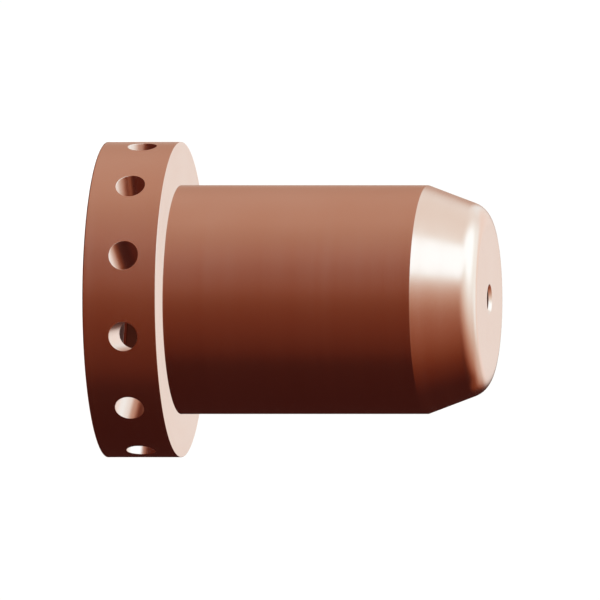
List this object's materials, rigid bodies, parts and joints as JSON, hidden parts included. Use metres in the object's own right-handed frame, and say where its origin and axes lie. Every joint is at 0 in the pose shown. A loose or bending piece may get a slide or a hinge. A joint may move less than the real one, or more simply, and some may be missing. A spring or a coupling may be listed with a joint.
{
  "type": "plasma torch nozzle",
  "caption": "Turned copper nozzle for a plasma cutting torch: flanged cylinder with a coned, rounded nose, a central orifice and a ring of off-centre gas holes that swirl the gas.",
  "frame": {"origin": "centre of the flange's flat rear face, on which the nozzle stands", "axes": "+Z along the nozzle's axis, from the rear face to the nose; one gas hole runs along Y, on the -Y side, at x = 1.75 mm"},
  "size_m": [0.0175, 0.0174, 0.0214],
  "materials": {
    "copper": "satin"
  },
  "bodies": {
    "root": {"nozzle": "copper"}
  },
  "joints": []
}
